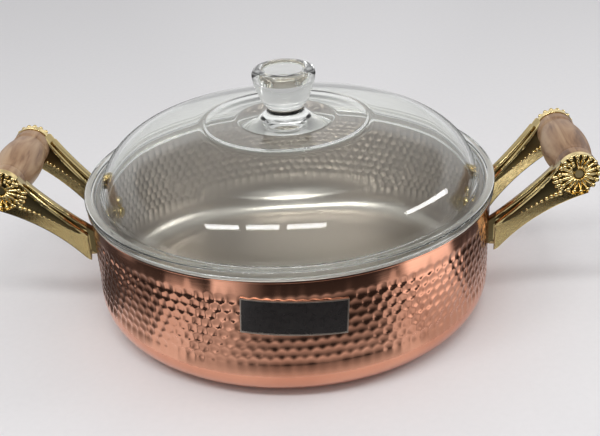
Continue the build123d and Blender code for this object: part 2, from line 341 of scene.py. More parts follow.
# %% Pan sizes and profile
pan_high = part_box("pan_body")[1]
lip_radius = pan_high.x
lip_overhang = 1.6 * MM
pan_height = pan_high.z
wall_radius = lip_radius - lip_overhang
copper_thickness = 2.0 * MM
corner_radius = 18.0 * MM
lip_thickness = 1.6 * MM
dish_count = 125
dish_rows = 8
points_per_dish = 6
band_bottom = 23.0 * MM
band_top = 65.0 * MM
row_pitch = (band_top - band_bottom) / dish_rows


def wall_heights(points_per_row):
    """Heights up the hammered band, from its bottom to its top."""
    count = dish_rows * points_per_row
    return [band_bottom + (band_top - band_bottom) * step / count for step in range(count + 1)]


corner_start = wall_radius - corner_radius
mouth_radius = wall_radius - copper_thickness
lip_bottom = pan_height - lip_thickness
pan_profile = [(0, 0), (corner_start / 2, 0)]
pan_profile += arc((corner_start, corner_radius), corner_radius, -pi / 2, 0, 14)
pan_profile += [(wall_radius, height) for height in wall_heights(points_per_dish)]
pan_profile += [(wall_radius, band_top + 0.4 * MM), (wall_radius, band_top + 0.9 * MM)]
pan_profile += rounded(
    [
        (wall_radius, band_top + 2 * MM, 0),
        (wall_radius, lip_bottom, 0.8 * MM),
        (lip_radius, lip_bottom, 0.5 * MM),
        (lip_radius, pan_height, 0.5 * MM),
        (mouth_radius, pan_height, 0.2 * MM),
        (mouth_radius, corner_radius, 0),
    ]
)
pan_profile += arc((corner_start, corner_radius), corner_radius - copper_thickness, 0, -pi / 2, 8)
pan_profile += [(0, copper_thickness)]
pan = lathe("copper_pan", pan_profile, dish_count * points_per_dish)
print("pan shell:", len(pan.data.polygons), "faces")

# %% [markdown]
# ## Hammer marks
# Each blow leaves a shallow dish, and neighbouring dishes meet in a ridge. A bump texture would leave
# the outline smooth, so the marks are pressed into the mesh: each point gets a weight for how deep it
# lies in its nearest dish, and a Displace modifier pushes the wall in by that weight.

# %% Press the dishes into the wall
dish_reach = 3.7 * MM
dish_depth = 0.8 * MM
dish_drift = 0.35 * MM
hammer = random.Random(7)
blows = {}
for row in range(dish_rows):
    for column in range(dish_count):
        drift = (hammer.uniform(-dish_drift, dish_drift), hammer.uniform(-dish_drift, dish_drift))
        blows[row, column] = (*drift, hammer.uniform(0.75, 1.0))


def dish_weight(angle, height):
    """How deep a point of the wall lies in the dishes, from 0 to 1."""
    dish_angle = 2 * pi / dish_count
    middle_row = int((height - band_bottom) // row_pitch)
    deepest = 0
    for row in range(max(middle_row - 1, 0), min(middle_row + 2, dish_rows)):
        stagger = (row % 2) / 2
        middle_column = round(angle / dish_angle - stagger)
        for column in range(middle_column - 1, middle_column + 2):
            drift_along, drift_up, force = blows[row, column % dish_count]
            along = (angle - (column + stagger) * dish_angle) * wall_radius - drift_along
            up = height - band_bottom - (row + 0.5) * row_pitch - drift_up
            deepest = max(deepest, force * (1 - (along**2 + up**2) / dish_reach**2))
    return deepest


def press_dishes(piece, reach, depth):
    """Moves the wall at this reach along its normals by the weight of the dishes."""
    group = piece.vertex_groups.new(name="hammered")
    for vertex in piece.data.vertices:
        x, y, height = vertex.co
        if abs(hypot(x, y) - reach) < 0.2 * MM:
            weight = dish_weight(atan2(y, x) % (2 * pi), height)
            if weight > 0:
                group.add([vertex.index], weight, "REPLACE")
    apply_modifier(piece, "DISPLACE", strength=depth, mid_level=0.0, vertex_group=group.name)


press_dishes(pan, wall_radius, -dish_depth)
smooth(pan, 50)
dress(pan, copper, "copper", "pan", "pan_body")
print("pressed", dish_rows * dish_count, "dishes")

# %% [markdown]
# ## Bright lining
# Inside, the pan is lined with a pale, satin metal, which also covers the flat top of the lip. The
# hammer blows show through it as low bumps. Under a mirror polish they would run together in the
# reflections, so the gloss is kept soft.

# %% Lining finish
def lining_finish():
    lining = Finish("bright lining")
    cloud = lining.noise(lining.place(), 9.0, detail=2.0)
    worn = lining.between(cloud, 0.1, 0.9)
    lining.surface(
        base_color=lining.mix(worn, (0.60, 0.55, 0.505), (0.48, 0.435, 0.40)),
        metallic=1.0,
        roughness=0.28 + 0.04 * worn,
    )
    return lining


lining_metal = lining_finish()


def plate_the_lip(piece):
    """The lining metal also covers the flat top of the lip, where the glass rests."""
    piece.data.materials.append(lining_metal.material)
    for polygon in piece.data.polygons:
        if polygon.center.z > pan_height - 0.3 * MM:
            polygon.material_index = 1


plate_the_lip(pan)
print("the lining wraps over the lip")

# %% Turn the lining and raise its bumps
bump_height = 1.05 * MM
lining_low, lining_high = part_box("pan_lining")
lining_radius = lining_high.x
lining_thickness = 0.6 * MM
bowl_radius = lining_radius - lining_thickness
lining_bottom = lining_low.z
bowl_floor = lining_bottom + lining_thickness
lining_corner = corner_radius - lining_bottom
lining_start = lining_radius - lining_corner
lining_profile = [(0, lining_bottom)]
lining_profile += arc((lining_start, corner_radius), lining_corner, -pi / 2, 0, 8)
lining_profile += [(lining_radius, pan_height), (bowl_radius, pan_height)]
lining_profile += [(bowl_radius, height) for height in reversed(wall_heights(points_per_dish))]
lining_profile += arc((lining_start, corner_radius), lining_corner - lining_thickness, 0, -pi / 2, 12)
lining_profile += [(lining_start / 2, bowl_floor), (0, bowl_floor)]
lining = lathe("pan_lining_shell", lining_profile, dish_count * points_per_dish)
press_dishes(lining, bowl_radius, bump_height)
smooth(lining, 50)
dress(lining, lining_metal, "lining", "pan", "pan_lining")
print("lining shell:", len(lining.data.polygons), "faces")

# %% [markdown]
# ## Glass lid
# The lid is one pressing of clear glass: a beaded flange, a skirt that drops into the pan, a dome, a
# raised disc and a hollow knob. It is turned as one closed shell, because glass bends light by its
# real thickness. Steep glass over a flat underside shows black, so the knob's foot is low and the
# underside of the disc nearly flat. The shader lets lamps through, so that the pan isn't left dark.

# %% Glass finish
def glass_finish():
    glass = Finish("clear glass")
    glass.surface(
        base_color=(0.955, 0.972, 0.945),
        roughness=0.0,
        ior=1.47,
        transmission_weight=1.0,
    )
    lamp_ray = glass.node("ShaderNodeLightPath", output="Is Shadow Ray")
    clear = glass.node("ShaderNodeBsdfTransparent", None, {"Color": (0.90, 0.93, 0.92)})
    solid = Wire(glass, glass.shader.outputs[0])
    shown = glass.node("ShaderNodeMixShader", None, {0: lamp_ray, 1: solid, 2: clear})
    glass.feed(glass.output.inputs["Surface"], shown)
    return glass


glass = glass_finish()
print("made", glass.material.name)

# %% Lid sizes and the dome's two arcs
lid_low, lid_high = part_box("glass_lid")
flange_radius = min(lid_high.x, lid_high.y)
flange_bottom = pan_height + 0.3 * MM
flange_top = flange_bottom + 4.6 * MM
groove_height = flange_top - 1.1 * MM
skirt_radius = bowl_radius - 1.1 * MM
skirt_bottom = lid_low.z
glass_thickness = 4.0 * MM
crown_radius = 322.0 * MM
shoulder_radius = 35.7 * MM
crown_middle = groove_height + 38.0 * MM - crown_radius
shoulder_reach = flange_radius - 7.6 * MM - shoulder_radius
shoulder_height = crown_middle + sqrt((crown_radius - shoulder_radius) ** 2 - shoulder_reach**2)
shoulder = (shoulder_reach, shoulder_height)
turning = atan2(shoulder_height - crown_middle, shoulder_reach)
foot_angle = asin((groove_height - shoulder_height) / shoulder_radius)
inner_angle = asin((flange_bottom - shoulder_height) / (shoulder_radius - glass_thickness))
disc_radius = 48.5 * MM
disc_height = crown_middle + sqrt(crown_radius**2 - disc_radius**2) + 0.6 * MM
disc_angle = atan2(disc_height - crown_middle, disc_radius)
knob_top = lid_high.z
print("dome rises to", round(disc_height / MM, 1), "mm, knob to", round(knob_top / MM, 1))

# %% Turn the lid
inner_foot = shoulder_reach + (shoulder_radius - glass_thickness) * cos(inner_angle)
inner_crown = crown_radius - glass_thickness
under_disc = crown_middle + sqrt(inner_crown**2 - disc_radius**2)
under_angle = atan2(under_disc - crown_middle, disc_radius)
under_rise = 1.6 * MM
under_steps = 12
lid_profile = []
for step in range(under_steps):
    share = step / under_steps
    lid_profile.append((disc_radius * share, under_disc + under_rise * (1 - share**2)))
lid_profile += arc((0, crown_middle), inner_crown, under_angle, turning, 10)
lid_profile += arc(shoulder, shoulder_radius - glass_thickness, turning, inner_angle, 14)
lid_profile += rounded(
    [
        (inner_foot, flange_bottom - 1 * MM, 0),
        (inner_foot, skirt_bottom, 1.2 * MM),
        (skirt_radius, skirt_bottom, 1.2 * MM),
        (skirt_radius, flange_bottom, 0.5 * MM),
        (flange_radius, flange_bottom, 1.9 * MM),
        (flange_radius, flange_top, 1.9 * MM),
        (flange_radius - 3.4 * MM, flange_top, 0.9 * MM),
        (flange_radius - 5.1 * MM, groove_height, 0.8 * MM),
        (shoulder_reach + shoulder_radius * cos(foot_angle), groove_height, 0),
    ]
)[:-1]
lid_profile += arc(shoulder, shoulder_radius, foot_angle, turning, 16)
lid_profile += arc((0, crown_middle), crown_radius, turning, disc_angle, 10)[:-1]
lid_profile += rounded(
    [
        (disc_radius + 0.4 * MM, disc_height - 0.6 * MM, 0),
        (disc_radius, disc_height - 0.5 * MM, 0.3 * MM),
        (disc_radius - 1.0 * MM, disc_height, 0.6 * MM),
        (29.5 * MM, disc_height, 1.5 * MM),
        (14.0 * MM, disc_height + 2.2 * MM, 2.2 * MM),
        (10.8 * MM, disc_height + 5.6 * MM, 1.4 * MM),
        (11.0 * MM, disc_height + 8.0 * MM, 1.0 * MM),
        (13.6 * MM, disc_height + 10.6 * MM, 1.4 * MM),
        (17.8 * MM, knob_top - 8.5 * MM, 4.0 * MM),
        (18.6 * MM, knob_top - 3.0 * MM, 2.2 * MM),
        (17.0 * MM, knob_top, 1.5 * MM),
        (12.2 * MM, knob_top, 1.6 * MM),
        (9.8 * MM, knob_top - 10.0 * MM, 4.0 * MM),
        (6.8 * MM, knob_top - 18.0 * MM, 4.0 * MM),
        (0, knob_top - 19.0 * MM, 0),
    ]
)
lid = lathe("glass_lid_shell", lid_profile, 288)
smooth(lid, 60)
dress(lid, glass, "glass", "lid", "glass_lid")
print("glass lid:", len(lid.data.polygons), "faces")

# %% [markdown]
# ## Brass
# The arms are cast brass, polished bright on the high places, with shade painted dark into the hollows.
# Each point of the mesh has an attribute called hollow, which grows in the grooves and the panel and is
# high on the foot by the wall and in the rosette's middle, and the finish is painted darker by it.

# %% Brass finish
def brass_finish():
    brass = Finish("cast brass")
    # Painted shade: where the hollow attribute is high, the brass is painted nearly black.
    hollow = brass.node("ShaderNodeAttribute", {"attribute_name": "hollow"}, output="Fac")
    cloud = brass.noise(brass.place(), 60.0, detail=4.0)
    dull = brass.between(cloud, 0.2, 0.8)
    polished = brass.mix(dull, (0.91, 0.74, 0.38), (0.81, 0.62, 0.28))
    brass.surface(
        base_color=brass.mix(hollow, polished, (0.055, 0.042, 0.018)),
        metallic=1.0,
        roughness=0.08 + 0.10 * dull + 0.2 * hollow,
    )
    return brass


brass = brass_finish()
print("made", brass.material.name)

# %% [markdown]
# ## Cast brass arms
# An arm is a curved bar with a foot on the wall and a rosette at the grip. One face is laid out as a
# grid from the foot to the rosette: two ridge lines along the top edge, a hollow panel that opens from
# a point, and a plain band below. The face is mirrored to the back, and the two are bridged.

# %% Arm sizes
grip_low, grip_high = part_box("right_grip")
grip_middle = (grip_low + grip_high) / 2
wood_end = grip_high.y
boss_inner = wood_end + 0.1 * MM
boss_face = boss_inner + 4.2 * MM
petal_top = boss_face + 2.2 * MM
rosette_middle = (boss_inner + petal_top) / 2
arm_angle = atan2(rosette_middle, grip_middle.x)
arm_reach = hypot(rosette_middle, grip_middle.x)
half_thickness = 4.5 * MM
foot_outer = wall_radius + 3.7 * MM
foot_top = 56.0 * MM
foot_bottom = 36.4 * MM
tip_blunting = 1.8 * MM
tip_run = 0.09
boss_radius = 11.7 * MM
rim_start = radians(148)
rim_end = radians(302)
boss_middle = Vector((arm_reach, grip_middle.z))
upper_start = Vector((foot_outer, foot_top))
lower_start = Vector((foot_outer, foot_bottom))
print("the rosettes stand", round(arm_reach / MM, 1), "mm from the pan's axis")


# %% The arm's face as a sheet of points
def rim_point(share):
    """A point on the rosette's rim, from the arm's top edge round to its lower edge."""
    angle = rim_start + (rim_end - rim_start) * share
    return boss_middle + boss_radius * Vector((cos(angle), sin(angle)))


def arm_point(along, across):
    """A point of the arm's face: along from foot to rosette, across from top edge to lower edge."""
    upper = bow(upper_start, rim_point(0), -1.0 * MM, along)
    lower = bow(lower_start, rim_point(1), 4.6 * MM, along)
    lower.y += tip_blunting * max(0.0, 1 - along / tip_run) ** 2
    straight_end = rim_point(0).lerp(rim_point(1), across)
    bend = (rim_point(across) - straight_end) * along**5
    return upper.lerp(lower, across) + bend, (lower - upper).length


ridge_width = 1.1 * MM
ridge_depth = 0.3 * MM
panel_gap = 2.5 * MM
panel_depth = 2.0 * MM
band_depth = 0.15 * MM


def panel_end(along):
    """How far down the face the panel's lower edge runs, from 0 at the foot."""
    return 0.60 * sin(pi / 2 * along**0.7)


def arm_relief(along, across, width):
    """How far the face lies under its highest level, and how much shade is painted there, from 0 to 1."""
    from_top = across * width
    panel_start = panel_gap / width
    opening = panel_end(along) - panel_start
    # The second value is painted shade: half in the grooves between the ridges, up to full in the panel.
    if from_top < 2 * ridge_width:
        ridge = abs(sin(from_top / ridge_width * pi))
        turned_over = 1.6 * MM * max(0.0, 1 - from_top / (1.3 * MM)) ** 2
        return ridge_depth * (1 - ridge) + turned_over, 0.5 * (1 - ridge)
    if opening > 0 and panel_start < across < panel_end(along):
        share = (across - panel_start) / opening
        depth = min(panel_depth, 0.45 * opening * width)
        edge = min(1.0, share / 0.10)
        hollow = min(1.0, depth / (0.6 * MM)) * edge * (1 - 0.3 * share)
        return depth * edge * (1 - share) ** 0.8, hollow
    return band_depth, 0.0


print("the foot is", round(arm_point(0, 0)[1] / MM, 1), "mm high")

# %% Lay out one face, mirror it and bridge the edges
arm_columns = 36
arm_rows = 30
bevel_angle = radians(50)


def bevel(piece, width):
    """Rounds the edges that are sharper than the bevel angle."""
    apply_modifier(piece, "BEVEL", width=width, segments=2, limit_method="ANGLE", angle_limit=bevel_angle)


def arm_bar():
    """The plain bar between foot and rosette, with the same relief on both faces."""
    bpy.ops.object.select_all(action="DESELECT")
    bpy.ops.mesh.primitive_grid_add(x_subdivisions=arm_columns, y_subdivisions=arm_rows, size=1)
    bar = bpy.context.object
    # Each point carries painted shade from the relief, for the brass finish.
    hollow = bar.data.attributes.new("hollow", "FLOAT", "POINT")
    for vertex in bar.data.vertices:
        along = vertex.co.x + 0.5
        across = (vertex.co.y + 0.5) ** 1.25
        point, width = arm_point(along, across)
        sunk, hollow.data[vertex.index].value = arm_relief(along, across, width)
        vertex.co = (point.x, -half_thickness + sunk, point.y)
    apply_modifier(bar, "MIRROR", use_axis=(False, True, False), use_mirror_merge=False)
    choose(bar)
    bpy.ops.object.mode_set(mode="EDIT")
    bpy.ops.mesh.select_all(action="DESELECT")
    bpy.ops.mesh.select_mode(type="EDGE")
    bpy.ops.mesh.select_non_manifold()
    bpy.ops.mesh.bridge_edge_loops()
    bpy.ops.mesh.select_mode(type="VERT")
    bpy.ops.object.mode_set(mode="OBJECT")
    close_up(bar)
    return bar


def add_foot(bar):
    """Extrudes the whole bar towards the wall, the last time narrowed: its end stands out as the foot."""
    choose(bar)
    bpy.ops.object.mode_set(mode="EDIT")
    bpy.ops.mesh.select_mode(type="FACE")
    bpy.ops.mesh.extrude_region_move(TRANSFORM_OT_translate={"value": (-0.3 * MM, 0, 0)})
    bpy.ops.mesh.extrude_region_move(TRANSFORM_OT_translate={"value": (-4.1 * MM, 0, 0)})
    bpy.ops.transform.resize(value=(1, 0.64, 0.9))
    bpy.ops.mesh.flip_normals()
    bpy.ops.mesh.select_mode(type="VERT")
    bpy.ops.object.mode_set(mode="OBJECT")
    # The foot against the wall is painted dark: painted shade.
    hollow = bar.data.attributes["hollow"]
    for vertex in bar.data.vertices:
        if vertex.co.x < foot_outer - 0.2 * MM:
            hollow.data[vertex.index].value = 0.85


bar = arm_bar()
add_foot(bar)
bevel(bar, 0.5 * MM)
print("arm bar:", len(bar.data.polygons), "faces")


# %% Beads along the panel
bead_count = 9


def ball(name, middle, size, turn=(0, 0, 0)):
    """A small cast bead, stretched by its size and turned into place."""
    bpy.ops.object.select_all(action="DESELECT")
    bpy.ops.mesh.primitive_uv_sphere_add(segments=12, ring_count=8, radius=1)
    bead = bpy.context.object
    bead.name = name
    return place(bead, turn=turn, move=middle, size=size)


def panel_beads():
    """Beads on both faces, growing along the panel's lower edge towards the rosette."""
    beads = []
    for face in (-1, 1):
        for step in range(bead_count):
            share = step / (bead_count - 1)
            along = 0.38 + 0.50 * share
            point = arm_point(along, panel_end(along))[0]
            middle = (point.x, face * (half_thickness - 0.3 * MM), point.y)
            size = (0.6 + 0.9 * share) * MM
            beads.append(ball("bead", middle, (size, size, size)))
    return beads


beads = panel_beads()
arm = join("right_front_arm_cast", [bar, *beads])
place(arm, turn=(0, 0, -arm_angle))
print("set", len(beads), "beads in the panels")

# %% A boss with its rosette
petal_count = 18
curl_petals = (6, 7)
curl_beads = ((9.3, 152, 1.3), (8.4, 137, 1.3), (7.9, 121, 1.1), (6.3, 124, 1.0), (5.9, 142, 0.9))
leaf_count = 7


def outwards(angle, reach, height):
    """A point round the rosette's middle, with its reach and height in millimetres."""
    return Vector((reach * cos(angle), reach * sin(angle), height)) * MM


def rosette():
    """A boss with petals round a sunken middle and a ring of beads at their tips.

    A curl of beads stands in place of two petals, and leaves stand outside the rim towards the arm.
    """
    boss_back = boss_inner - boss_face
    boss_profile = rounded(
        [
            (2.6 * MM, boss_back, 0),
            (11.6 * MM, boss_back, 0.5 * MM),
            (11.6 * MM, 0, 0.5 * MM),
            (8.0 * MM, 0.2 * MM, 1.0 * MM),
            (3.7 * MM, -0.4 * MM, 0.3 * MM),
            (3.6 * MM, -1.0 * MM, 0.2 * MM),
            (2.6 * MM, -1.0 * MM, 0.1 * MM),
            (2.6 * MM, boss_back, 0),
        ]
    )
    boss = lathe("boss", boss_profile, 72)
    # The front of the boss round its sunken middle is painted dark: painted shade.
    hollow = boss.data.attributes.new("hollow", "FLOAT", "POINT")
    for vertex in boss.data.vertices:
        sunken = vertex.co.z > -1.2 * MM and hypot(vertex.co.x, vertex.co.y) < 11.4 * MM
        hollow.data[vertex.index].value = 0.9 if sunken else 0.0
    parts = [boss]
    for step in range(petal_count):
        angle = 2 * pi * step / petal_count
        parts.append(ball("tip", outwards(angle, 10.75, 0.7), (1.4 * MM, 1.4 * MM, 1.4 * MM)))
        if step not in curl_petals:
            size = (4.3 * MM, 1.15 * MM, 1.9 * MM)
            parts.append(ball("petal", outwards(angle, 6.9, 0), size, turn=(0, 0.10, angle)))
    for reach, degrees, size in curl_beads:
        size *= MM
        parts.append(ball("curl", outwards(radians(degrees), reach, 0.8), (size, size, size)))
    for step in range(leaf_count):
        angle = radians(188 + 12 * step)
        size = (2.3 * MM, 1.2 * MM, 1.4 * MM)
        parts.append(ball("leaf", outwards(angle, 13.2, 0.3), size, turn=(0, 0.2, angle)))
    flower = join("rosette", parts)
    return place(flower, turn=(pi / 2, 0, 0), move=(grip_middle.x, -boss_face, grip_middle.z))


arm = join("right_front_arm_cast", [arm, rosette()])
smooth(arm, 40)
print("one arm:", len(arm.data.polygons), "faces")


# %% Copy the arm to the other corners
def mirrored_copy(piece, name, flip):
    """A copy with its own mesh, mirrored across the pan and turned right side out."""
    copy = piece.copy()
    copy.data = piece.data.copy()
    copy.name = name
    bpy.context.scene.collection.objects.link(copy)
    place(copy, size=flip)
    if sum(face.area * face.normal.dot(face.center) for face in copy.data.polygons) < 0:
        choose(copy)
        bpy.ops.object.mode_set(mode="EDIT")
        bpy.ops.mesh.select_all(action="SELECT")
        bpy.ops.mesh.flip_normals()
        bpy.ops.object.mode_set(mode="OBJECT")
    return copy


for side, along_x in (("right", 1), ("left", -1)):
    for end, along_y in (("front", 1), ("back", -1)):
        name = f"{side}_{end}_arm"
        cast = arm
        if (side, end) != ("right", "front"):
            cast = mirrored_copy(arm, f"{name}_cast", (along_x, along_y, 1))
        dress(cast, brass, "brass", "pan", name)
print("four arms stand at", round(arm_angle * 180 / pi, 1), "degrees from the handle line")

# %% [markdown]
# ## Wooden grips
# Each grip is turned from pale, figured wood: a collar at each end, a groove, and a belly that fills
# the hand. The grain runs along the grip, so the pattern is stretched along Y.

# %% Wood finish
def wood_finish():
    wood = Finish("turned wood")
    warp = wood.noise(wood.place(size=(1, 0.25, 1)), 45.0, detail=2.0)
    fibre = wood.noise(wood.place(size=(1, 0.06, 1)), 420.0, detail=4.0, roughness=0.6)
    figure = wood.noise(wood.place(size=(1, 0.22, 1)), 90.0, detail=3.0, distortion=1.6)
    tone = 0.55 * figure + 0.25 * warp + 0.2 * fibre
    wood.surface(
        base_color=wood.ramp(
            tone,
            (0.38, (0.17, 0.088, 0.046)),
            (0.47, (0.33, 0.192, 0.105)),
            (0.58, (0.45, 0.295, 0.175)),
        ),
        roughness=0.38 + 0.2 * fibre,
        coat_weight=0.15,
        coat_roughness=0.25,
        normal=wood.bump(fibre, 0.25, 0.3 * MM),
    )
    return wood


wood = wood_finish()
print("made", wood.material.name)

# %% Turn the grips
grip_radius = (grip_high.x - grip_low.x) / 2
collar_radius = 11.3 * MM
groove_radius = 10.2 * MM
groove_place = wood_end - 8.5 * MM
belly_rise = grip_radius - groove_radius
belly_steps = 24
half_profile = rounded(
    [
        (2.7 * MM, -wood_end, 0),
        (collar_radius - 0.6 * MM, -wood_end, 0.5 * MM),
        (collar_radius, -wood_end + 2.0 * MM, 1.2 * MM),
        (collar_radius, -groove_place - 1.6 * MM, 1.0 * MM),
        (groove_radius, -groove_place - 0.3 * MM, 0.3 * MM),
        (groove_radius + 0.6 * MM, -groove_place + 1.0 * MM, 0),
    ]
)
belly = []
for step in range(1, belly_steps):
    share = step / belly_steps
    rise = belly_rise * sin(pi * share) ** 0.8
    belly.append((groove_radius + rise, -groove_place + 2 * groove_place * share))
grip_profile = half_profile + belly + [(reach, -height) for reach, height in reversed(half_profile)]
grip_profile.append(grip_profile[0])
grip = lathe("right_grip_wood", grip_profile, 64)
place(grip, turn=(pi / 2, 0, 0), move=(grip_middle.x, 0, grip_middle.z))
smooth(grip, 50)
left_grip = mirrored_copy(grip, "left_grip_wood", (-1, 1, 1))
dress(grip, wood, "wood", "pan", "right_grip")
dress(left_grip, wood, "wood", "pan", "left_grip")
print("grip:", len(grip.data.polygons), "faces, two of them")

# %% [markdown]
# ## Label plate
# A small black plate is stuck on the front wall, a little crooked, with a thin bright edge. It is cut
# flat and bent to the wall: the distance along the plate becomes a distance round the pan.

# %% Label finishes
def gloss_black_finish():
    black = Finish("gloss black plate")
    speck = black.noise(black.place(), 300.0, detail=3.0)
    black.surface(
        base_color=black.mix(speck, (0.012, 0.010, 0.010), (0.028, 0.024, 0.023)),
        roughness=0.16 + 0.12 * speck,
        coat_weight=0.15,
    )
    return black


def bright_edge_finish():
    edge = Finish("bright plate edge")
    speck = edge.noise(edge.place(), 500.0, detail=2.0)
    edge.surface(
        base_color=edge.mix(speck, (0.70, 0.62, 0.55), (0.45, 0.36, 0.30)),
        metallic=1.0,
        roughness=0.22 + 0.2 * speck,
    )
    return edge


label_black = gloss_black_finish()
label_bright = bright_edge_finish()
print("made", label_black.material.name, "and", label_bright.material.name)

# %% Cut the plate
label_width = 55.6 * MM
label_height = 20.5 * MM
label_columns = 40
label_rows = 10
label_sunk = -0.5 * MM
plate_thickness = 0.85 * MM
plate_inset = 1.4 * MM


def label_plate():
    """A thin black sheet that lies within the bright edge."""
    bpy.ops.object.select_all(action="DESELECT")
    bpy.ops.mesh.primitive_grid_add(x_subdivisions=label_columns, y_subdivisions=label_rows, size=1)
    plate = bpy.context.object
    plate.name = "front_label_plate"
    sheet_size = (label_width - plate_inset, label_height - plate_inset, 1)
    place(plate, size=sheet_size, move=(0, 0, label_sunk))
    bpy.ops.object.mode_set(mode="EDIT")
    bpy.ops.mesh.select_all(action="SELECT")
    bpy.ops.mesh.extrude_region_move(TRANSFORM_OT_translate={"value": (0, 0, plate_thickness)})
    bpy.ops.object.mode_set(mode="OBJECT")
    close_up(plate)
    return plate


plate = label_plate()
print("label plate:", len(plate.data.polygons), "faces")

# %% Raise its bright edge
edge_inset = 1.6 * MM
edge_top = 0.5 * MM


def label_edge():
    """A thin frame: its outline is drawn, repeated a little smaller and pulled up."""
    corners = [(1, 1), (-1, 1), (-1, -1), (1, -1), (1, 1)]
    points = []
    for (x, y), (next_x, next_y) in zip(corners, corners[1:]):
        steps = label_columns if y == next_y else label_rows
        for step in range(steps):
            share = step / steps
            across, up = x + (next_x - x) * share, y + (next_y - y) * share
            points.append((across * label_width / 2, up * label_height / 2, label_sunk))
    points.append(points[0])
    rim = draw_line("label_edge", points)
    bpy.ops.object.mode_set(mode="EDIT")
    bpy.ops.mesh.select_all(action="SELECT")
    bpy.ops.mesh.remove_doubles(threshold=MERGE_DISTANCE)
    bpy.ops.mesh.extrude_edges_move()
    bpy.ops.transform.resize(value=(1 - edge_inset / label_width, 1 - edge_inset / label_height, 1))
    bpy.ops.mesh.select_all(action="SELECT")
    bpy.ops.mesh.normals_make_consistent(inside=False)
    bpy.ops.mesh.extrude_region_move(TRANSFORM_OT_translate={"value": (0, 0, edge_top - label_sunk)})
    bpy.ops.object.mode_set(mode="OBJECT")
    close_up(rim)
    bevel(rim, 0.12 * MM)
    return rim


edge = label_edge()
print("label edge:", len(edge.data.polygons), "faces")

# %% Bend both to the wall
label_middle = 53.0 * MM
label_turn = radians(3.0)
label_tilt = radians(-3.6)
label_back = wall_radius + 0.1 * MM


def bend_to_wall(piece):
    """Tilts a flat piece and wraps it round the pan at the label's place."""
    for vertex in piece.data.vertices:
        flat = Matrix.Rotation(label_tilt, 3, "Z") @ vertex.co
        reach = label_back + flat.z
        angle = flat.x / label_back + label_turn - pi / 2
        vertex.co = (reach * cos(angle), reach * sin(angle), label_middle + flat.y)


for piece, finish in ((plate, label_black), (edge, label_bright)):
    bend_to_wall(piece)
    smooth(piece, 40)
    dress(piece, finish, "label", "pan", "front_label")
print("label bent to a radius of", round(label_back / MM, 1), "mm")

# %% [markdown]
# ## Fasteners
# The bolts, nuts and foot screws are turned steel with a thin brass plating, duller than the arms.
# Their CAD shapes are right as they are, so they stay, and only their material slots are filled.

# %% Plate the CAD fasteners
def plated_finish():
    plated = Finish("brass-plated steel")
    turned = plated.noise(plated.place(), 700.0, detail=2.0)
    plated.surface(
        base_color=plated.mix(turned, (0.60, 0.48, 0.25), (0.45, 0.35, 0.17)),
        metallic=1.0,
        roughness=0.28 + 0.15 * turned,
    )
    return plated


plated = plated_finish()
fasteners = [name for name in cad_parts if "tie_" in name or "screws" in name]
for name in fasteners:
    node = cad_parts[name]
    node.data.materials.clear()
    node.data.materials.append(plated.material)
print("plated fasteners:", len(fasteners))

# %% [markdown]
# ## Floor, light and camera
# The pan stands on a plain pale floor, lit by a window at the right and a window of three panes in
# front. Polished metal is a picture of what stands round it, and lamps alone would leave it flat. So
# the room is light behind the pan and dark behind the camera, and a glowing ring of card lies on the
# floor, seen only in reflections: it paints dark and bright reflections into the metal. The camera
# stands where the photograph was taken from.

# %% Floor
floor_radius = 8.0


def floor_finish():
    pale = Finish("pale floor")
    weave = pale.noise(pale.place(), 260.0, detail=3.0)
    pale.surface(
        base_color=pale.mix(weave, (0.80, 0.79, 0.80), (0.84, 0.83, 0.84)),
        roughness=0.9,
        normal=pale.bump(weave, 0.15, 0.4 * MM),
    )
    return pale


bpy.ops.object.select_all(action="DESELECT")
bpy.ops.mesh.primitive_circle_add(vertices=96, radius=floor_radius, fill_type="NGON")
floor = bpy.context.object
floor.name = "floor"
floor.data.materials.append(floor_finish().material)
print("the floor reaches", floor_radius, "m")


# %% Window lights
def window_light(name, start, end, width, radiance):
    """A long narrow area light from one point to another, facing the pan, of a known brightness."""
    run = Vector(end) - Vector(start)
    middle = (Vector(start) + Vector(end)) / 2
    lamp = bpy.data.lights.new(name, "AREA")
    lamp.shape = "RECTANGLE"
    lamp.size, lamp.size_y = run.length, width
    lamp.energy = radiance * pi * run.length * width
    stand = bpy.data.objects.new(name, lamp)
    bpy.context.scene.collection.objects.link(stand)
    away = middle.normalized()
    sideways = (run - away * run.dot(away)).normalized()
    turn = Matrix((sideways, away.cross(sideways), away)).transposed().to_4x4()
    stand.matrix_world = Matrix.Translation(middle) @ turn
    stand.visible_camera = False


window_light("right_window", (1.06, -0.22, 0.72), (1.12, 0.38, 0.44), 0.11, 10.0)
front_left, front_right = Vector((-0.74, -0.48, 0.95)), Vector((0.34, -0.59, 1.11))
for pane, (start, end) in enumerate(((0.0, 0.30), (0.36, 0.62), (0.68, 1.0))):
    pane_start, pane_end = front_left.lerp(front_right, start), front_left.lerp(front_right, end)
    window_light(f"front_window_{pane}", pane_start, pane_end, 0.13, 14.0)
print("the front window is", round((front_right - front_left).length, 2), "m wide")


# %% A room that is light behind the pan and dark behind the camera
class Room(Finish):
    """The world's own shader, built with the same nodes as a finish."""

    def __init__(self, name):
        self.world = bpy.data.worlds.new(name)
        self.world.use_nodes = True
        self.tree = self.world.node_tree
        self.shader = self.tree.nodes["Background"]


def grey(level):
    return (level, level, level * 1.01)


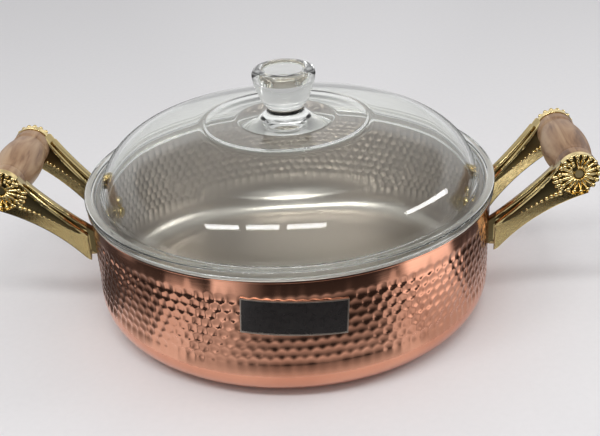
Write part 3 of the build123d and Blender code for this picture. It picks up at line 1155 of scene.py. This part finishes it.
room = Room("room")
way = room.node("ShaderNodeTexCoord", output="Generated")
height = room.node("ShaderNodeSeparateXYZ", None, {0: way}, output=2)
depth = room.node("ShaderNodeSeparateXYZ", None, {0: way}, output=1)
camera_side = room.ramp(
    height,
    (0.0, grey(0.05)),
    (0.2, grey(0.07)),
    (0.35, grey(0.35)),
    (0.75, grey(0.68)),
)
far_side = room.ramp(
    height,
    (0.0, grey(0.78)),
    (0.26, grey(0.80)),
    (0.32, grey(1.0)),
    (0.42, grey(1.0)),
    (0.48, grey(0.50)),
    (0.60, grey(0.50)),
    (0.84, grey(0.64)),
)
walls = room.mix(room.between(depth, -0.25, 0.25), camera_side, far_side)
print("the walls turn from dark to light across the pan")

# %% A plain backdrop where the camera sees past the floor, also straight through glass
backdrop = room.ramp(height, (0.0, grey(0.49)), (0.25, grey(0.72)))
through_glass = room.node("ShaderNodeLightPath", output="Is Transmission Ray")
bounces = room.node("ShaderNodeLightPath", output="Glossy Depth")
seen = room.node("ShaderNodeLightPath", output="Is Camera Ray") + through_glass * (1 - bounces)
room.feed(room.shader.inputs["Color"], room.mix(seen, walls, backdrop))
bpy.context.scene.world = room.world
print("the backdrop meets the floor in one tone")


# %% A glowing ring of card on the floor, for painted reflections
def painted_reflection_finish():
    """A glowing card that paints dark and bright reflections into the metal; its glow changes with the
    distance from the pan's axis and with the direction.

    Distances are in millimetres, and directions in degrees from the front, growing to the right.
    """
    card = Finish("painted reflection card")
    spot = card.place()
    reach = card.node("ShaderNodeVectorMath", {"operation": "LENGTH"}, {0: spot}, output="Value")
    aside = card.node("ShaderNodeSeparateXYZ", None, {0: spot}, output="X")
    behind = card.node("ShaderNodeSeparateXYZ", None, {0: spot}, output="Y")
    turn = aside.sum("ARCTAN2", aside, 0 - behind) * (0.5 / pi) + 0.5

    def by_reach(*stops):
        return card.ramp(reach, *[(distance * MM, grey(level)) for distance, level in stops])

    def by_turn(*stops):
        return card.ramp(turn, *[(0.5 + degrees / 360, grey(level)) for degrees, level in stops])

    # Painted reflections: dim paints dark shade out from the pan, near and far paint bands of pale floor,
    # each in its directions.
    dim = by_reach((135, 0.66), (152, 0.36), (178, 0.18), (208, 0.07), (240, 0.025))
    near = by_reach((150, 0.85), (200, 0.88), (218, 0.70), (230, 0.06), (290, 0.04))
    near_share = by_turn(
        (-180, 1), (-118, 1), (-106, 0), (-52, 0), (-47, 0.85), (-37, 0.85), (-32, 0),
        (35, 0), (40, 0.8), (44, 0.8), (49, 0), (135, 0), (150, 1), (180, 1),
    )
    far = by_reach((216, 0.05), (228, 0.74), (300, 0.74), (325, 0.04))
    far_share = by_turn((-94, 0), (-88, 0.9), (-74, 0.9), (-68, 0))
    # Glow brighter than the floor: painted highlights in the copper.
    bright = by_reach(
        (135, 0.62), (160, 0.60), (186, 0.80), (206, 1.1), (226, 1.5), (262, 1.4), (280, 0.08),
    )
    bright_share = by_turn(
        (-31, 0), (-29, 0.70), (-22, 0.50), (-14, 0.1), (-8, 0), (46, 0), (51, 1), (73, 1), (77, 0),
    )
    open_share = by_turn((-170, 1), (-160, 0), (160, 0), (170, 1))
    glow = card.mix(far_share, card.mix(near_share, dim, near), far)
    glow = card.mix(open_share, card.mix(bright_share, glow, bright), grey(0.74))
    card.surface(base_color=(0, 0, 0), roughness=1.0, specular_ior_level=0.0)
    card.surface(emission_color=glow, emission_strength=1.0)
    return card


card_inner = 135 * MM
card_outer = 990 * MM
painted_reflection_ring = lathe("painted_reflection_ring", [(card_inner, MM), (card_outer, MM)], 96)
painted_reflection_ring.data.materials.append(painted_reflection_finish().material)
# It lights nothing and casts no shadow; it only paints reflections.
painted_reflection_ring.visible_camera = False
painted_reflection_ring.visible_diffuse = False
painted_reflection_ring.visible_shadow = False
painted_reflection_ring.visible_transmission = False
print("a ring of card lies from", round(card_inner, 3), "to", round(card_outer, 3), "m round the pan")

# %% Camera
focal_pixels = 943.64
image_width = 600
tilt = radians(27.48)
swing = radians(3.10)
roll = radians(-3.0)
distance = 584.77 * MM
aim = Vector((5.16, 0, 47.6)) * MM
back = Vector((sin(swing) * cos(tilt), -cos(swing) * cos(tilt), sin(tilt)))
level = Vector((cos(swing), sin(swing), 0))
upright = back.cross(level)
across = level * cos(roll) + upright * sin(roll)
up = upright * cos(roll) - level * sin(roll)
camera = bpy.data.objects.new("camera", bpy.data.cameras.new("camera"))
bpy.context.scene.collection.objects.link(camera)
camera.data.sensor_width = 36.0
camera.data.lens = focal_pixels * camera.data.sensor_width / image_width
camera_turn = Matrix((across, up, back)).transposed().to_4x4()
camera.matrix_world = Matrix.Translation(aim + back * distance) @ camera_turn
bpy.context.scene.camera = camera
bpy.context.scene.view_settings.view_transform = "Standard"
print("camera stands", round(distance, 3), "m from the pan")
